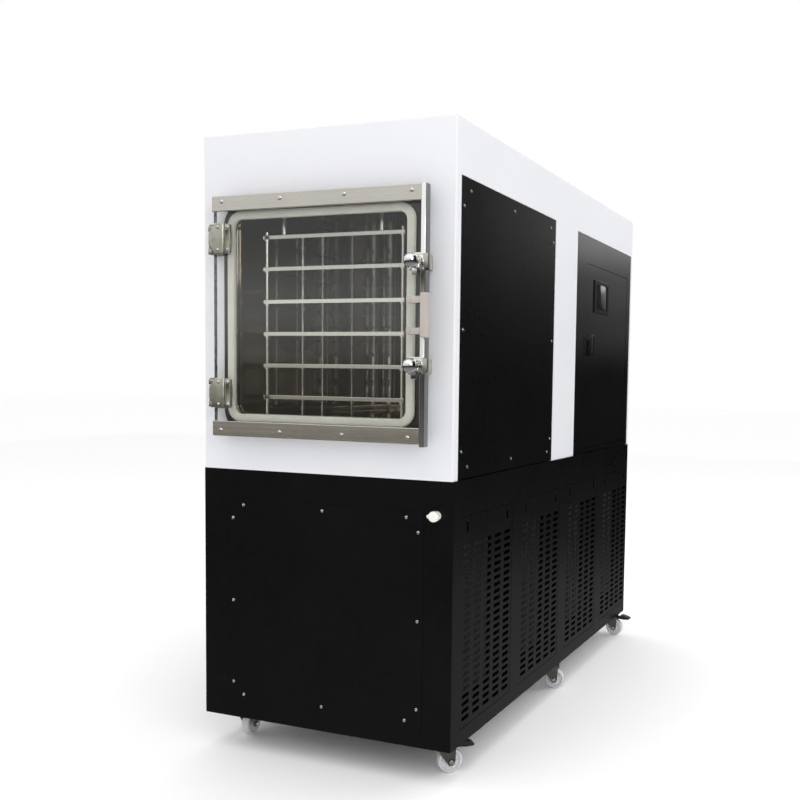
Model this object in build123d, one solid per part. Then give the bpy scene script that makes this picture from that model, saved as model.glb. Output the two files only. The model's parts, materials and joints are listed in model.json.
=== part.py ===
from build123d import *
import os
from math import sin, cos, radians, pi, sqrt

# Pilot freeze dryer: shelf drying chamber with a clear hinged door in a white
# upper housing, on a black machine base with vented side panels and casters.
# Build frame: x across (0 = cabinet centre), y = distance back from the
# cabinet's front plane, z up from the floor. Every solid is shifted at export
# by (SHIFT_X, SHIFT_Y) so that the origin is the bottom centre of the whole.

# ---------------------------------------------------------------- dimensions
W = 850.0            # base width
D = 1930.0           # cabinet depth
CAST_H = 105.0       # height of the casters, floor to underside of the base
BASE_H = 776.0       # height of the black base
UP_H = 1006.0        # height of the white housing
Z0 = CAST_H                      # underside of the base
Z1 = Z0 + BASE_H                 # top of the base
Z2 = Z1 + UP_H                   # top of the machine
HW = W / 2
UW = 422.0           # half width of the upper housing
SHEET = 1.5          # sheet metal
PANEL_TOP = Z0 + 1626.0          # top edge of the black side panels
P1 = (33.0, 851.0)   # front side panel, y range
P2 = (1107.0, 1912.0)            # rear side panel, y range
VENT_C = (262.0, 746.0, 1230.0, 1714.0)   # vent panel centres along y
VENT_W, VENT_H = 400.0, 620.0
VENT_Z0 = Z0 + 46.5
SLOT_L, SLOT_H = 53.0, 12.0
SLOT_COLS, SLOT_ROWS = 5, 24
SLOT_PX, SLOT_PZ = 79.0, 22.1

CX = 3.0             # centre of the chamber and door
CZ = 1340.0
CH_W = 560.0         # chamber inside width
CH_Z = (1054.0, 1644.0)          # chamber inside floor and ceiling
CH_Y = (-4.0, 700.0)
GK_OUT, GK_IN = 311.0, 287.0     # gasket half sizes
DOOR_X = (-344.0, 361.0)
DOOR_Z = (986.0, 1694.0)
DOOR_Y = (-55.0, -30.0)
BAR_H = 45.0
HINGE = (-356.0, -48.0)          # door pin axis, x and y
HINGE_Z = (1569.0, 1114.0)       # hinge centres
HINGE_R, HINGE_BORE = 5.0, 5.06
CLAMP_X = 334.0
CLAMP_Z = (1484.0, 1202.0)
HANDLE_Z = (1278.0, 1399.0)

SHELF_X = 243.0
SHELF_Y = (50.0, 600.0)
SHELF_T = 12.0
SHELF_Z = (1584.0, 1489.5, 1391.5, 1295.0, 1199.5, 1104.0)
ROD_X, ROD_Y, ROD_R = 231.0, (60.0, 254.0, 373.0, 565.0), 5.0

LEAF_Y = (1255.0, 1850.0)        # electrical door leaf
LEAF_Z = (905.0, 1625.0)
EPIN = (414.5, 1847.0)           # electrical door pin axis, x and y
LOCK = (1285.0, 1328.0)          # lock spindle, y and z
SCREEN_Y = (1340.0, 1545.0)
SCREEN_Z = (1442.0, 1573.0)

FAN = (200.0, 745.0, 440.0)      # fan hub centre
VALVE = (375.0, 783.0)           # drain valve spindle, x and z

WHEEL_R, WHEEL_W, TRAIL = 37.5, 28.0, 32.0
AXLE_R, AXLE_BORE = 5.0, 5.05
# caster: name, swivel x, swivel y, yaw of the trail from straight back
CASTERS = (("fl", -349.0, 101.0, 2.0), ("fr", 347.0, 95.0, -50.0),
           ("ml", -362.0, 1000.0, 14.0), ("mr", 367.0, 1007.0, -80.0),
           ("rl", -362.0, 1880.0, -60.0), ("rr", 365.0, 1880.0, -90.0))

FRONT_REACH = 119.0  # knobs stand out of the front plane
REAR_REACH = 30.0    # drain tail stands out of the rear
TAIL_R = 9.0
SIDE_REACH = 469.0   # brake pedal of the rear right caster, +x
SHIFT_X = -(SIDE_REACH - HW) / 2
SHIFT_Y = -(D + REAR_REACH - FRONT_REACH) / 2

parts = {}


def bx(x0, x1, y0, y1, z0, z1):
    return Pos((x0 + x1) / 2, (y0 + y1) / 2, (z0 + z1) / 2) * Box(abs(x1 - x0), abs(y1 - y0), abs(z1 - z0))


def cx_(r, x0, x1, y, z):
    return Pos((x0 + x1) / 2, y, z) * Rot(0, 90, 0) * Cylinder(r, abs(x1 - x0))


def cy_(r, y0, y1, x, z):
    return Pos(x, (y0 + y1) / 2, z) * Rot(90, 0, 0) * Cylinder(r, abs(y1 - y0))


def cz_(r, z0, z1, x, y):
    return Pos(x, y, (z0 + z1) / 2) * Cylinder(r, abs(z1 - z0))


def fuse(items):
    items = list(items)
    out = items[0]
    return out.fuse(*items[1:]) if len(items) > 1 else out


def rprism_y(hx, hz, r, y0, y1, x=0.0, z=0.0):
    """Rounded rectangle prism along y."""
    sk = RectangleRounded(2 * hx, 2 * hz, r)
    return Pos(x, y1, z) * Rot(90, 0, 0) * extrude(sk, y1 - y0)


def solids_of(s):
    if isinstance(s, (list, tuple)):
        out = []
        for i in s:
            out += solids_of(i)
        return out
    return list(s.solids())


def put(name, shape):
    parts[name] = solids_of(shape)


def mirror_x(s):
    return mirror(s, Plane.YZ)


# ---------------------------------------------------------------- casters
def caster_at(shape, x, y, yaw):
    return Pos(x, y, 0) * Rot(0, 0, yaw) * shape


def make_plate():
    p = bx(-36, 36, -48, 48, 102, 105)
    p = fillet(p.edges().filter_by(Axis.Z), 6)
    race = Pos(0, 0, 99.4) * Cone(22, 27, 5.2)
    bolts = [cz_(5.5, 98.2, 102, sx * 28, sy * 39) for sx in (-1, 1) for sy in (-1, 1)]
    return fuse([p, race] + bolts)


def make_fork(pedal):
    crown = Pos(0, 0, 93.3) * Cylinder(25, 6.2)
    bridge = bx(-21, 21, -21, 22, 87, 90.6)
    leg = Plane.YZ * make_face(Polyline((-21, 90.6), (44, 90.6), (47, 84), (46, 72),
                                        (TRAIL + 12.5, 37.5), (TRAIL + 6, 25.5), (TRAIL - 6, 25.5),
                                        (TRAIL - 12.5, 34), (-8, 72), close=True))
    legs = [Pos(18, 0, 0) * extrude(leg, 3), Pos(-21, 0, 0) * extrude(leg, 3)]
    axle = cx_(AXLE_R, -21, 21, TRAIL, 37.5)
    heads = [Pos(0, TRAIL, 37.5) * Rot(0, 90, 0) * extrude(RegularPolygon(8, 6), 25),
             Pos(-25.5, TRAIL, 37.5) * Rot(0, 90, 0) * Cylinder(7.5, 9)]
    heads[0] = heads[0] - bx(-1, 20.5, TRAIL - 10, TRAIL + 10, 26, 50)
    heads[1] = heads[1] - bx(-20.5, 1, TRAIL - 10, TRAIL + 10, 26, 50)
    spacer = [cx_(8, -18.2, -14.6, TRAIL, 37.5), cx_(8, 14.6, 18.2, TRAIL, 37.5)]
    items = [crown, bridge, axle] + legs + heads + spacer
    if pedal:
        items.append(cx_(3.0, -21, 21, 38, 83))
    f = fuse(items)
    return f


def make_wheel():
    hw = WHEEL_W / 2
    pts = [(AXLE_BORE, -hw), (13, -hw), (13, -hw + 4), (27, -hw + 5), (29, -hw + 1), (34.5, -hw + 1),
           (37.0, -hw + 4), (WHEEL_R, 0), (37.0, hw - 4), (34.5, hw - 1), (29, hw - 1), (27, hw - 5),
           (13, hw - 4), (13, hw), (AXLE_BORE, hw)]
    face = make_face(Polyline(*[(b, a) for a, b in pts], close=True))
    # profile in the XY plane: x along the axle, y = radius
    w = revolve(face, Axis.X, 360)
    return Pos(0, TRAIL, 37.5) * w


def make_pedal():
    body = bx(-16.5, 16.5, 32, 60, 79.4, 86.4)
    tread = Plane.YZ * make_face(Polyline((54, 79.6), (58, 88), (64, 95.4), (72, 96), (98, 88.5), (104, 84.5),
                                          (104, 81), (100, 79), (80, 77.5), (62, 78.5), close=True))
    tread = Pos(-16.5, 0, 0) * extrude(tread, 33)
    toe = Plane.YZ * make_face(Polyline((33, 80), (27.5, 80.4), (26.5, 83), (27.5, 85.6), (33, 86), close=True))
    toe = Pos(-8, 0, 0) * extrude(toe, 16)
    p = fuse([body, tread, toe, cx_(6.5, -16.5, 16.5, 38, 83)])
    p = p - cx_(3.06, -20, 20, 38, 83)
    return p


plate, wheel, pedal = make_plate(), make_wheel(), make_pedal()
fork_p, fork_n = make_fork(True), make_fork(False)
put("caster_plates", [caster_at(plate, x, y, 0) for n, x, y, a in CASTERS])
for n, x, y, a in CASTERS:
    braked = n[0] != "m"
    put("caster_fork_" + n, caster_at(fork_p if braked else fork_n, x, y, a))
    put("caster_wheel_" + n, caster_at(wheel, x, y, a))
    if braked:
        put("brake_pedal_" + n, caster_at(pedal, x, y, a))

# ---------------------------------------------------------------- base frame
L, T = 40.0, 4.0


def post(sx, y, sy, z0, z1, xo=405.0):
    """Angle post with its heel at (sx*xo, y)."""
    a = bx(sx * (xo - T), sx * xo, y, y + sy * L, z0, z1)
    b = bx(sx * (xo - L), sx * xo, y, y + sy * T, z0, z1)
    return [a, b]


def rail_y(sx, z, sz, y0, y1, xo=405.0):
    return [bx(sx * (xo - T), sx * xo, y0, y1, z, z + sz * L),
            bx(sx * (xo - L), sx * xo, y0, y1, z, z + sz * T)]


def rail_x(y, sy, z, sz, x0=-405.0, x1=405.0):
    return [bx(x0, x1, y, y + sy * T, z, z + sz * L),
            bx(x0, x1, y, y + sy * L, z, z + sz * T)]


fr = [bx(-421, 421, 14, 1916, Z0, Z0 + 3), bx(58, 60, 24, 1906, Z0 + 3, 836)]
for sx in (-1, 1):
    fr += post(sx, 20, 1, Z0 + 3, Z1 - 3) + post(sx, 1910, -1, Z0 + 3, Z1 - 3)
    for ym in (484.0, 968.0, 1452.0):
        fr += post(sx, ym, 1, Z0 + 3, Z1 - 3)
    fr += rail_y(sx, Z0 + 3, 1, 20, 1910) + rail_y(sx, Z1 - 3, -1, 20, 1910)
for yy, sy in ((20, 1), (968, 1), (1910, -1)):
    fr += rail_x(yy, sy, Z1 - 3, -1) + rail_x(yy, sy, Z0 + 3, 1)
# cradles under the chamber and the cold trap
for yy in (110.0, 560.0):
    for sx in (-1, 1):
        fr += [bx(sx * 216, sx * 220, yy, yy + L, Z1 - 43, CH_Z[0] - 11), bx(sx * 220, sx * 180, yy, yy + T, Z1 - 43, CH_Z[0] - 11)]
    fr += [bx(-405, 405, yy, yy + L, Z1 - 7, Z1 - 3), bx(-405, 405, yy, yy + T, Z1 - 43, Z1 - 3)]
    fr += [bx(-220, 220, yy, yy + L, CH_Z[0] - 11, CH_Z[0] - 7)]
for yy in (820.0, 1120.0):
    fr += [bx(-405, 405, yy, yy + L, Z1 - 7, Z1 - 3), bx(-405, 405, yy, yy + T, Z1 - 43, Z1 - 3)]
    saddle = bx(-170, 170, yy, yy + 6, Z1 - 7, 1180) - cy_(268.5, yy - 1, yy + 7, CX, CZ)
    fr += [saddle]
put("base_frame", fuse(fr) - cy_(12, 15, 70, VALVE[0], VALVE[1]))

# ---------------------------------------------------------------- base skins
front = bx(-HW, HW, 0, 12, Z0, Z1)
front = fillet(front.edges().filter_by(Axis.Z).group_by(Axis.Y)[0], 2.5)
front = front - bx(-HW + SHEET, HW - SHEET, SHEET, 13, Z0 + SHEET, Z1 - SHEET)
front = front - bx(-296, 296, -1, 2, Z0 + 96, Z0 + 648)
front = front - cy_(9.2, -1, 2, VALVE[0], VALVE[1])
put("base_front_skin", front)

cover = bx(-334, 334, -1.4, -0.1, Z0 + 57, Z0 + 687)
cover = fillet(cover.edges().filter_by(Axis.Y), 4)
put("front_service_cover", cover)


def side_skin():
    s = bx(HW - SHEET, HW, 12.6, D - 1.6, Z0, Z1)
    s += bx(HW - 22, HW, 12.6, D - 1.6, Z1 - SHEET, Z1)
    s += bx(HW - 4, HW, 12.6, D - 1.6, Z0, Z0 + SHEET)
    cuts, seats = [], []
    hw, z0, z1 = VENT_W / 2 + 1.5, VENT_Z0 - 1.5, VENT_Z0 + VENT_H + 1.5
    for c in VENT_C:
        seats.append(bx(HW - 17.5, HW - SHEET + 0.1, c - hw - SHEET, c + hw + SHEET, z0 - SHEET, z1 + SHEET)
                     - bx(HW - 16, HW + 1, c - hw, c + hw, z0, z1)
                     - bx(HW - 20, HW + 1, c - hw + 14, c + hw - 14, z0 + 14, z1 - 14))
        cuts.append(bx(HW - 16, HW + 1, c - hw, c + hw, z0, z1))
    s = s - cuts
    s = fuse([s] + seats)
    s = s - cuts
    return s


sk = side_skin()
put("base_side_skins", [sk, mirror_x(sk)])

# vent panel, outside face towards +x, centred on y = 0
slots = [Pos((i - (SLOT_COLS - 1) / 2) * SLOT_PX, SLOT_PZ * j + 25.5 - VENT_H / 2) * SlotOverall(SLOT_L, SLOT_H)
         for i in range(SLOT_COLS) for j in range(SLOT_ROWS)]
ovals = [Pos(s * 157.0, 589.5 - VENT_H / 2) * SlotOverall(30, 12, rotation=90) for s in (-1, 1)]
vsk = RectangleRounded(VENT_W, VENT_H, 2) - slots - ovals
vface = Plane(origin=(0, 0, 0), x_dir=(0, 1, 0), z_dir=(1, 0, 0)) * vsk
vent = extrude(vface, SHEET)                     # x 0..1.5, y = width, z = height
rim = bx(-12.5, 0.1, -VENT_W / 2, VENT_W / 2, -VENT_H / 2, VENT_H / 2) - \
    bx(-13, 1, -VENT_W / 2 + SHEET, VENT_W / 2 - SHEET, -VENT_H / 2 + SHEET, VENT_H / 2 - SHEET)
vent = vent + rim
put("vent_panels_right", [Pos(HW - 0.5 - SHEET, c, VENT_Z0 + VENT_H / 2) * vent for c in VENT_C])
put("vent_panels_left", [Pos(-(HW - 0.5 - SHEET), c, VENT_Z0 + VENT_H / 2) * Rot(0, 0, 180) * vent for c in VENT_C])

# filter pads close behind part of each vent panel
pads = []
for c in VENT_C:
    for sx in (-1, 1):
        pads.append(bx(sx * 396, sx * 406, c - 196, c + 42, Z0 + 128, Z0 + 600))
put("air_filters", pads)

rear = bx(-HW + 1.8, HW - 1.8, D - SHEET, D, Z0, Z1 - 0.3)
rslots = [Pos(0, D - 0.5, Z0 + 250 + 24 * j) for j in range(16)]
rear = rear - [bx(x - 45, x + 45, D - 3, D + 1, Z0 + 250 + 24 * j, Z0 + 260 + 24 * j)
               for x in (-240, -120, 0, 120, 240) for j in range(16)]
rear = rear - cy_(12.5, D - 3, D + 1, 300, Z0 + 120)
put("base_rear_panel", rear)

# ---------------------------------------------------------------- upper housing
sh = bx(-UW, UW, 0, D - SHEET - 0.3, Z1, Z2)
sh = fillet(sh.edges().filter_by(Axis.Z).group_by(Axis.Y)[0] + sh.edges().group_by(Axis.Z)[-1].filter_by(lambda e: e.center().Y < D - 3), 5)
sh = sh - bx(-UW + 2, UW - 2, 2, D + 5, Z1 - 5, Z2 - 2)
wing = []
cut = []
for sx in (-1, 1):
    for (a, b) in (P1, P2):
        cut.append(bx(sx * (UW - 5), sx * (UW + 2), a, b, Z1 - 1, PANEL_TOP))
        # folded seat round the opening: return wall and seat strip
        ring = bx(sx * (UW - 20), sx * (UW - 1), a - SHEET, b + SHEET, Z1, PANEL_TOP + SHEET) - \
            bx(sx * (UW - 18.5), sx * (UW + 1), a, b, Z1 - 1, PANEL_TOP) - \
            bx(sx * (UW - 25), sx * (UW + 1), a + 14, b - 14, Z1 - 1, PANEL_TOP - 14)
        wing.append(ring)
sh = sh - cut
sh = fuse([sh] + wing)
sh = sh - rprism_y(300, 322, 44, -2, 4, CX, CZ + 0.0)
put("upper_housing", sh)


def tray(y0, y1, z0, z1, xo, depth=14.0, sx=1):
    t = bx(xo - depth, xo, y0, y1, z0, z1)
    t = fillet(t.edges().filter_by(Axis.X), 2.0)
    t = t - bx(xo - depth - 1, xo - SHEET, y0 + SHEET, y1 - SHEET, z0 + SHEET, z1 - SHEET)
    return t if sx > 0 else mirror_x(t)


put("side_panel_right", tray(P1[0] + 1.5, P1[1] - 1.5, Z1 + 2.5, PANEL_TOP - 1.5, UW - 1))
put("side_panels_left", [tray(P1[0] + 1.5, P1[1] - 1.5, Z1 + 2.5, PANEL_TOP - 1.5, UW - 1, sx=-1),
                         tray(P2[0] + 1.5, P2[1] - 1.5, Z1 + 2.5, PANEL_TOP - 1.5, UW - 1, sx=-1)])

urear = bx(-UW + 0.5, UW - 0.5, D - SHEET, D, Z1 + 0.3, Z2 - 0.5)
urear = fillet(urear.edges().filter_by(Axis.Y).group_by(Axis.Z)[-1], 4)
urear = urear - cy_(12, D - 3, D + 1, CX, 950)
put("upper_rear_panel", urear)

# ---------------------------------------------------------------- screws
def screw(head_r=5.0, head_h=2.2, shank_r=2.0, shank=8.0):
    """Pan head screw pointing along +y: head from -head_h to 0, shank behind."""
    h = Pos(0, -head_h / 2, 0) * Rot(90, 0, 0) * Cylinder(head_r, head_h)
    h = fillet(h.edges().group_by(Axis.Y)[0], 1.2)
    return h


sc = screw()
scr = []
for x, z in [(s * 317, zz) for s in (-1, 1) for zz in (626, 369, 112)] + \
        [(xx, zz) for xx in (-279, 0, 279) for zz in (667, 75)]:
    scr.append(Pos(x, -1.4, Z0 + z) * sc)
sp = [(P1[0] + 23, 1544), (P1[0] + 23, 1201), (P1[0] + 23, 857), (P1[1] - 23, 1544), (P1[1] - 23, 1201), (P1[1] - 23, 857),
      (101, 1591), (447, 1591), (796, 1591), (101, 811), (450, 811), (800, 811)]
for y, z in sp:
    scr.append(Pos(UW - 1, y, Z0 + z) * Rot(0, 0, 90) * sc)
    scr.append(Pos(-UW + 1, y, Z0 + z) * Rot(0, 0, -90) * sc)
for y, z in [(P2[0] + 23, 1544), (P2[0] + 23, 857), (P2[1] - 23, 1544), (P2[1] - 23, 857), (1200, 1591), (1510, 1591), (1820, 1591),
             (1200, 811), (1510, 811), (1820, 811)]:
    scr.append(Pos(-UW + 1, y, Z0 + z) * Rot(0, 0, -90) * sc)
for x in (-390, 0, 390):
    for z in (Z0 + 30, Z0 + 740, Z1 + 40, Z2 - 40):
        scr.append(Pos(x, D, z) * Rot(0, 0, 180) * sc)
put("panel_screws", scr)

# ---------------------------------------------------------------- electrical door
ef = tray(P2[0] + 1.5, P2[1] - 1.5, Z1 + 2.5, PANEL_TOP - 1.5, UW - 1)
lo = (LEAF_Y[0] - 2.0, LEAF_Y[1] + 5.2, LEAF_Z[0] - 2.0, LEAF_Z[1] + 2.0)
ef = ef + (bx(UW - 15, UW - 1.5, lo[0] - SHEET, lo[1] + SHEET, lo[2] - SHEET, lo[3] + SHEET))
ef = ef - bx(UW - 30, UW + 2, lo[0], lo[1], lo[2], lo[3])
pins = []
for z in (1000.0, 1530.0):
    lugs = []
    for za in (z + 15.5, z - 21.5):
        lugs += [bx(402, 408.5, EPIN[1] - 4, lo[1] + SHEET, za, za + 6),
                 bx(EPIN[0] - 8, EPIN[0] + 3, EPIN[1] - 4, EPIN[1] + 2.5, za, za + 6)]
    ef = fuse([ef, cz_(2.5, z - 21.5, z + 21.5, EPIN[0], EPIN[1])] + lugs)
put("electrical_door_frame", ef)

lf = bx(UW - 1 - 14, UW - 1, LEAF_Y[0], LEAF_Y[1], LEAF_Z[0], LEAF_Z[1])
lf = lf - bx(UW - 16, UW - 1 - SHEET, LEAF_Y[0] + SHEET, LEAF_Y[1] + 1, LEAF_Z[0] + SHEET, LEAF_Z[1] - SHEET)
lf = lf - bx(UW - 16, UW - 1 - SHEET, LEAF_Y[1] - 12, LEAF_Y[1] + 1, LEAF_Z[0] - 1, LEAF_Z[1] + 1)
for z in (1000.0, 1530.0):
    kn = cz_(4.5, z - 15, z + 15, EPIN[0], EPIN[1]) + bx(EPIN[0] + 1.5, UW - 1 - SHEET + 0.1, EPIN[1] - 24, EPIN[1] + 2, z - 15, z + 15)
    lf = lf + kn
lf = lf - [cz_(2.56, z - 16, z + 16, EPIN[0], EPIN[1]) for z in (1000.0, 1530.0)]
lf = lf - bx(UW - 16, UW + 2, SCREEN_Y[0] + 7, SCREEN_Y[1] - 7, SCREEN_Z[0] + 7, SCREEN_Z[1] - 7)
lf = lf - cx_(8.06, UW - 16, UW + 2, LOCK[0], LOCK[1])
put("electrical_door", lf)

ts = bx(UW - 1, UW + 3.5, SCREEN_Y[0], SCREEN_Y[1], SCREEN_Z[0], SCREEN_Z[1])
ts = fillet(ts.edges().filter_by(Axis.X), 5)
ts = chamfer(ts.faces().sort_by(Axis.X)[-1].edges(), 1.5)
ts = ts + bx(UW - 34, UW - 0.9, SCREEN_Y[0] + 7.3, SCREEN_Y[1] - 7.3, SCREEN_Z[0] + 7.3, SCREEN_Z[1] - 7.3)
ts = ts - bx(UW + 2.3, UW + 5, SCREEN_Y[0] + 19, SCREEN_Y[1] - 19, SCREEN_Z[0] + 16, SCREEN_Z[1] - 16)
put("touch_screen", ts)

rose = cx_(17, UW - 0.7, UW + 4, LOCK[0], LOCK[1])
spin = cx_(8, UW - 26, UW + 2, LOCK[0], LOCK[1])
lev = bx(UW + 4, UW + 19, LOCK[0] - 13, LOCK[0] + 13, LOCK[1] - 62, LOCK[1] + 22)
lev = fillet(lev.edges().filter_by(Axis.X), 11)
lev = fillet(lev.faces().sort_by(Axis.X)[-1].edges(), 4)
cam = bx(UW - 26, UW - 22, LOCK[0] - 9, LOCK[0] + 9, LOCK[1] - 42, LOCK[1] + 9)
put("lock_handle", fuse([rose, spin, lev, cam]))

ep = [bx(275, 278, 1140, 1890, 930, 1690)]
for (y0, y1, z0, z1, d) in ((1170, 1330, 1480, 1660, 90), (1370, 1500, 1500, 1660, 60), (1540, 1860, 1540, 1640, 70),
                            (1170, 1520, 1300, 1390, 55), (1560, 1860, 1290, 1400, 75), (1180, 1420, 980, 1200, 100),
                            (1470, 1850, 1080, 1160, 60)):
    ep.append(bx(278.1, 278.1 + d * 0.9, y0, y1, z0, z1))
put("electrical_plate", ep)

# ---------------------------------------------------------------- chamber
inner = rprism_y(CH_W / 2, (CH_Z[1] - CH_Z[0]) / 2, 30, CH_Y[0], CH_Y[1], CX, (CH_Z[0] + CH_Z[1]) / 2)
outer = rprism_y(CH_W / 2 + 5, (CH_Z[1] - CH_Z[0]) / 2 + 5, 35, CH_Y[0], CH_Y[1] + 5, CX, (CH_Z[0] + CH_Z[1]) / 2)
flange = rprism_y(312, 312, 46, -18, CH_Y[0], CX, CZ) - rprism_y(GK_IN, GK_IN, 26, -19, CH_Y[0] + 1, CX, CZ)
ch = (outer - inner) + flange
ch = ch - cy_(90, CH_Y[1] - 1, CH_Y[1] + 6, CX, CZ)
put("chamber", ch)

trim = rprism_y(335, 335, 60, -13, -0.05, CX, CZ) - rprism_y(312.3, 312.3, 46.3, -14, 1, CX, CZ)
trim = fillet(trim.faces().sort_by(Axis.Y)[0].edges(), 3)
put("flange_trim", trim)

gk = rprism_y(GK_OUT, GK_OUT, 45, -29.7, -18, CX, CZ) - rprism_y(GK_IN, GK_IN, 24, -31, -17, CX, CZ)
gk = fillet(gk.faces().sort_by(Axis.Y)[0].edges(), 5)
put("door_gasket", gk)

# ---------------------------------------------------------------- clear door
SB = 15.0    # side bar width
ac = bx(DOOR_X[0], DOOR_X[1] - SB, DOOR_Y[0], DOOR_Y[1], DOOR_Z[0] + 3, DOOR_Z[1] - 3)
ac = chamfer(ac.edges().filter_by(Axis.Z).group_by(Axis.X)[0], 1.5)
put("door_plate", ac)

tb = bx(DOOR_X[0], DOOR_X[1] - SB, -63, -55, DOOR_Z[1] - BAR_H, DOOR_Z[1]) + \
    bx(DOOR_X[0], DOOR_X[1] - SB, -63, -25, DOOR_Z[1] - 3, DOOR_Z[1])
tb = fillet(tb.edges().filter_by(Axis.X).filter_by(lambda e: e.center().Y < -62.5), 2)
bb = bx(DOOR_X[0], DOOR_X[1] - SB, -63, -55, DOOR_Z[0], DOOR_Z[0] + BAR_H) + \
    bx(DOOR_X[0], DOOR_X[1] - SB, -63, -25, DOOR_Z[0], DOOR_Z[0] + 3)
bb = fillet(bb.edges().filter_by(Axis.X).filter_by(lambda e: e.center().Y < -62.5), 2)
put("door_cross_bars", [tb, bb])

sb = bx(DOOR_X[1] - SB, DOOR_X[1], -64, -37, DOOR_Z[0] - 7, DOOR_Z[1])
sb = fillet(sb.edges().filter_by(Axis.Z).group_by(Axis.Y)[0], 2.5)

dsc = screw(6.2, 3.0)
ds = []
for x, x2 in ((-310, -315), (-107, -107), (105.5, 102), (317, 311)):
    ds.append(Pos(x, -63, DOOR_Z[1] - 17) * dsc)
    ds.append(Pos(x2, -63, DOOR_Z[0] + 17.5) * dsc)
lsc = screw(5.0, 3.0)
for zc in HINGE_Z:
    for dz in (-33, 33):
        ds.append(Pos(-317, -72, zc + dz) * lsc)
        ds.append(Pos(-289.5, -63, zc + dz) * lsc)
put("door_screws", ds)

hb, hl = [], []
for zc in HINGE_Z:
    base = bx(-383, -341, -5, -0.05, zc - 44, zc + 44)
    base = fillet(base.edges().filter_by(Axis.Y).group_by(Axis.X)[0], 14)
    b = [base]
    for s in (-1, 1):
        zlo, zhi = sorted((zc + s * 26, zc + s * 42))
        brl = cz_(9, zlo, zhi, HINGE[0], HINGE[1])
        brl = chamfer(brl.edges().group_by(Axis.Z)[-1 if s > 0 else 0], 3)
        b += [bx(-373, -349, -44, -4.5, zlo, zhi), brl]
    b.append(bx(-373, -364, -32, -4.5, zc - 40, zc + 40))
    b = fuse(b) - cz_(HINGE_R, zc - 60, zc + 60, HINGE[0], HINGE[1])
    hb.append(b)
    pin = cz_(HINGE_R, zc - 44, zc + 44, HINGE[0], HINGE[1]) + cz_(7, zc + 42, zc + 45, HINGE[0], HINGE[1])
    hb.append(pin)
    blk = Plane.XZ * make_face(Polyline((-352, -15), (-331, -45), (-298, -45), (-298, 45), (-331, 45), (-352, 15), close=True))
    blk = Pos(0, -58, zc) * extrude(blk, 14)
    blk = chamfer(blk.faces().sort_by(Axis.Y)[0].edges(), 2.5)
    leaf = bx(-340, -280.5, -63, -55.0, zc - 43, zc + 43)
    leaf = fillet(leaf.edges().filter_by(Axis.Y), 5)
    leaf = leaf - bx(-296, -284, -64, -57, zc - 24, zc + 24)
    neck = bx(-356, -345.5, -60, -48, zc - 25.6, zc + 25.6)
    lf2 = fuse([leaf, blk, neck, cz_(9, zc - 25.6, zc + 25.6, HINGE[0], HINGE[1])])
    lf2 = lf2 - cz_(HINGE_BORE, zc - 60, zc + 60, HINGE[0], HINGE[1])
    hl.append(lf2)
put("hinge_brackets", hb)
put("hinge_leaves", hl)

ck = []
for i, zc in enumerate(CLAMP_Z):
    # bearing block of the clamp, welded to the side bar
    b = bx(314, 360.5, -70, -62, zc - 24, zc + 24)
    b = fillet(b.edges().filter_by(Axis.Y), 5)
    b2 = bx(314, 347, -63, -55.1, zc - 24, zc + 24)
    b2 = fillet(b2.edges().filter_by(Axis.Y).group_by(Axis.X)[0], 5)
    sb = fuse([sb, b, b2]) - cy_(8.06, -71, -64.1, CLAMP_X, zc)
    # knob: ball with a neck, shaft and cam tongue pointing down
    prof = make_face(Polyline((0, -119), (7, -118.2), (12.5, -115.5), (17, -111), (20, -105), (21, -98), (20, -91),
                              (16.5, -85.6), (12, -82.5), (10, -79.5), (10, -76.1), (8, -76.1), (8, -64.6), (0, -64.6), close=True))
    kb = revolve(prof, Axis.Y, 360)
    ball = Pos(CLAMP_X, 0, zc) * kb
    tng = bx(CLAMP_X - 8, CLAMP_X + 8, -76.2, -70.5, zc - 29, zc + 9)
    tng = fuse([tng, cy_(8, -76.2, -70.5, CLAMP_X, zc - 29)])
    put("clamp_knob_" + ("upper", "lower")[i], fuse([ball, tng]))
    k = make_face(Polyline((339.5, -0.05), (339.5, -5), (347, -5), (362.2, -37), (372, -66), (372, -77.5), (364.5, -77.5),
                           (364.5, -84), (379, -84), (379, -70), (368.8, -37), (353, -5), (353, -0.05), close=True))
    k = Pos(0, 0, zc - 20) * extrude(k, 40)
    ck.append(k)
put("door_side_bar", sb)
put("clamp_keepers", ck)

hd = bx(358, 381, -92, -70, HANDLE_Z[0], HANDLE_Z[1])
hd = fillet(hd.edges(), 5)
arms = []
for z in (1296.0, 1381.0):
    a = bx(313, 363, -82, -66.5, z - 9, z + 9)
    a2 = bx(313, 333, -68, -55.1, z - 9, z + 9)
    arms += [a, a2, cy_(6, -84.5, -81, 322, z)]
put("door_handle", fuse([hd] + arms))

# ---------------------------------------------------------------- shelves
shv = []
for z in SHELF_Z:
    s = bx(CX - SHELF_X, CX + SHELF_X, SHELF_Y[0], SHELF_Y[1], z - SHELF_T / 2, z + SHELF_T / 2)
    s = fillet(s.edges().filter_by(Axis.Z), 6)
    s = fillet(s.faces().sort_by(Axis.Z)[-1].edges(), 2)
    s = s - [cz_(ROD_R + 0.5, z - 20, z + 20, CX + sx * ROD_X, y) for sx in (-1, 1) for y in ROD_Y]
    shv.append(s)
put("shelves", shv)

rods = [cz_(ROD_R, CH_Z[0], 1600, CX + sx * ROD_X, y) for sx in (-1, 1) for y in ROD_Y]
rods += [cz_(7, SHELF_Z[0] + SHELF_T / 2, CH_Z[1], xx, y) for xx in (-168, 164) for y in (62, 560)]
rods += [cz_(8.5, z - SHELF_T / 2 - 5, z - SHELF_T / 2, CX + sx * ROD_X, y) - cz_(ROD_R, z - 20, z + 20, CX + sx * ROD_X, y)
         for z in SHELF_Z for sx in (-1, 1) for y in ROD_Y]
put("shelf_rods", rods)

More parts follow.
